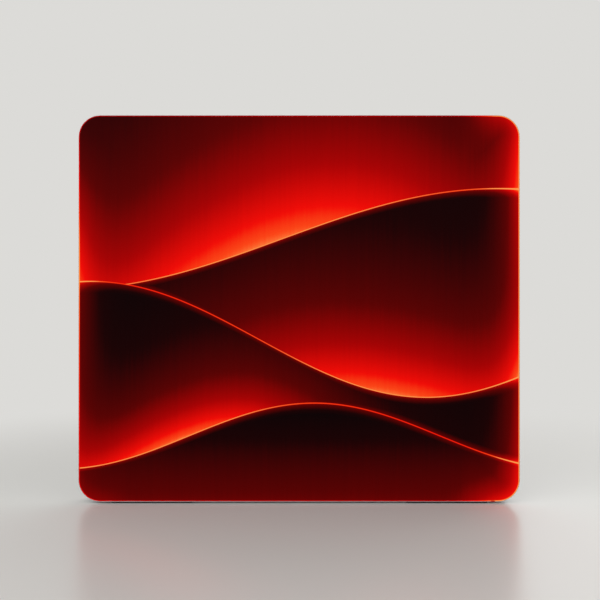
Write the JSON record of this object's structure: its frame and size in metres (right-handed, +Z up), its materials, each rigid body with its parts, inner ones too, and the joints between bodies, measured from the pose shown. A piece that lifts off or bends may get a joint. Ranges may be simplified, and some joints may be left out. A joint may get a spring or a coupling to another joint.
{
  "type": "lightbox display wall",
  "caption": "Free-standing backlit fabric display wall with rounded corners: a thin aluminium frame, a printed front with a bright rim, a dark liner behind and low swivel feet.",
  "frame": {"origin": "on the floor, under the middle of the wall", "axes": "+X along the wall to the right as seen from the front, +Y from the front to the back, +Z up; the printed face looks along -Y"},
  "size_m": [2.438, 0.1222, 2.1446],
  "materials": {
    "anodised_aluminium": "satin natural anodised extrusion",
    "zinc_plated_steel": "bright zinc plating",
    "coated_steel": "fine-textured black powder coat",
    "printed_fabric": "dye-printed knitted polyester, lit from behind",
    "block_out_fabric": "charcoal block-out knit",
    "silicone": "translucent silicone strip",
    "rubber": "matt black rubber",
    "nylon": "moulded nylon",
    "white_plastic": "white moulded housing with clear lenses",
    "black_plastic": "fine-grained moulded plastic",
    "cable_sheath": "flexible cable sheath",
    "fuse": "nickel-plated caps on a ceramic tube"
  },
  "bodies": {
    "frame": {"bottom_rail": "anodised_aluminium", "right_post": "anodised_aluminium", "top_rail": "anodised_aluminium", "left_post": "anodised_aluminium", "corner_bottom_right": "anodised_aluminium", "corner_top_right": "anodised_aluminium", "corner_top_left": "anodised_aluminium", "corner_bottom_left": "anodised_aluminium", "splice_bar_bottom_left": "zinc_plated_steel", "splice_bar_bottom_right": "zinc_plated_steel", "splice_bar_right_lower": "zinc_plated_steel", "splice_bar_right_upper": "zinc_plated_steel", "splice_bar_top_right": "zinc_plated_steel", "splice_bar_top_left": "zinc_plated_steel", "splice_bar_left_upper": "zinc_plated_steel", "splice_bar_left_lower": "zinc_plated_steel", "led_bar_bottom_centre": "white_plastic", "led_bar_bottom_left": "white_plastic", "led_bar_bottom_right": "white_plastic", "led_bar_top_centre": "white_plastic", "led_bar_top_left": "white_plastic", "led_bar_top_right": "white_plastic", "led_bar_left": "white_plastic", "led_bar_right": "white_plastic", "centre_post": "anodised_aluminium", "centre_post_shoe_bottom": "black_plastic", "centre_post_shoe_top": "black_plastic", "mains_inlet": "black_plastic", "led_driver": "anodised_aluminium", "driver_bracket": "zinc_plated_steel", "mains_lead": "cable_sheath", "dc_feed_lead": "cable_sheath", "dc_bus_cable": "cable_sheath", "front_graphic": "printed_fabric", "rear_liner": "block_out_fabric", "front_edge_strip": "silicone", "rear_edge_strip": "silicone", "front_pull_tab": "printed_fabric", "rear_pull_tab": "block_out_fabric", "left_foot_bearing": "nylon", "left_foot_bolt": "zinc_plated_steel", "left_foot_nut_plate": "zinc_plated_steel", "right_foot_bearing": "nylon", "right_foot_bolt": "zinc_plated_steel", "right_foot_nut_plate": "zinc_plated_steel"},
    "lock_bottom_left": {"lock_bottom_left": "zinc_plated_steel"},
    "lock_bottom_right": {"lock_bottom_right": "zinc_plated_steel"},
    "lock_right_lower": {"lock_right_lower": "zinc_plated_steel"},
    "lock_right_upper": {"lock_right_upper": "zinc_plated_steel"},
    "lock_top_right": {"lock_top_right": "zinc_plated_steel"},
    "lock_top_left": {"lock_top_left": "zinc_plated_steel"},
    "lock_left_upper": {"lock_left_upper": "zinc_plated_steel"},
    "lock_left_lower": {"lock_left_lower": "zinc_plated_steel"},
    "rocker": {"rocker_switch": "black_plastic"},
    "fuse_carrier": {"fuse_drawer": "black_plastic", "mains_fuse": "fuse"},
    "left_foot": {"left_foot_plate": "coated_steel", "left_foot_sole": "rubber"},
    "right_foot": {"right_foot_plate": "coated_steel", "right_foot_sole": "rubber"}
  },
  "joints": [
    {"name": "lock_turn_bottom_left", "type": "hinge", "parent": "frame", "child": "lock_bottom_left", "pos_m": [-0.56, 0, 0.0106], "axis": [0, 0, 1], "range_deg": [0, 90]},
    {"name": "lock_turn_bottom_right", "type": "hinge", "parent": "frame", "child": "lock_bottom_right", "pos_m": [0.56, 0, 0.0106], "axis": [0, 0, 1], "range_deg": [0, 90]},
    {"name": "lock_turn_right_lower", "type": "hinge", "parent": "frame", "child": "lock_right_lower", "pos_m": [1.219, 0, 0.6176], "axis": [-1, 0, 0], "range_deg": [0, 90]},
    {"name": "lock_turn_right_upper", "type": "hinge", "parent": "frame", "child": "lock_right_upper", "pos_m": [1.219, 0, 1.5376], "axis": [-1, 0, 0], "range_deg": [0, 90]},
    {"name": "lock_turn_top_right", "type": "hinge", "parent": "frame", "child": "lock_top_right", "pos_m": [0.56, 0, 2.1446], "axis": [0, 0, -1], "range_deg": [0, 90]},
    {"name": "lock_turn_top_left", "type": "hinge", "parent": "frame", "child": "lock_top_left", "pos_m": [-0.56, 0, 2.1446], "axis": [0, 0, -1], "range_deg": [0, 90]},
    {"name": "lock_turn_left_upper", "type": "hinge", "parent": "frame", "child": "lock_left_upper", "pos_m": [-1.219, 0, 1.5376], "axis": [1, 0, 0], "range_deg": [0, 90]},
    {"name": "lock_turn_left_lower", "type": "hinge", "parent": "frame", "child": "lock_left_lower", "pos_m": [-1.219, 0, 0.6176], "axis": [1, 0, 0], "range_deg": [0, 90]},
    {"name": "rocker_tilt", "type": "hinge", "parent": "frame", "child": "rocker", "pos_m": [1.2104, 0, 0.2252], "axis": [0, 0, -1], "range_deg": [0, 20]},
    {"name": "fuse_drawer_slide", "type": "slide", "parent": "frame", "child": "fuse_carrier", "axis": [1, 0, 0], "range_m": [0, 0.016]},
    {"name": "left_foot_swivel", "type": "hinge", "parent": "frame", "child": "left_foot", "pos_m": [-0.819, 0, 0.006], "axis": [0, 0, 1], "range_deg": [-90, 90]},
    {"name": "right_foot_swivel", "type": "hinge", "parent": "frame", "child": "right_foot", "pos_m": [0.819, 0, 0.006], "axis": [0, 0, 1], "range_deg": [-90, 90]}
  ]
}
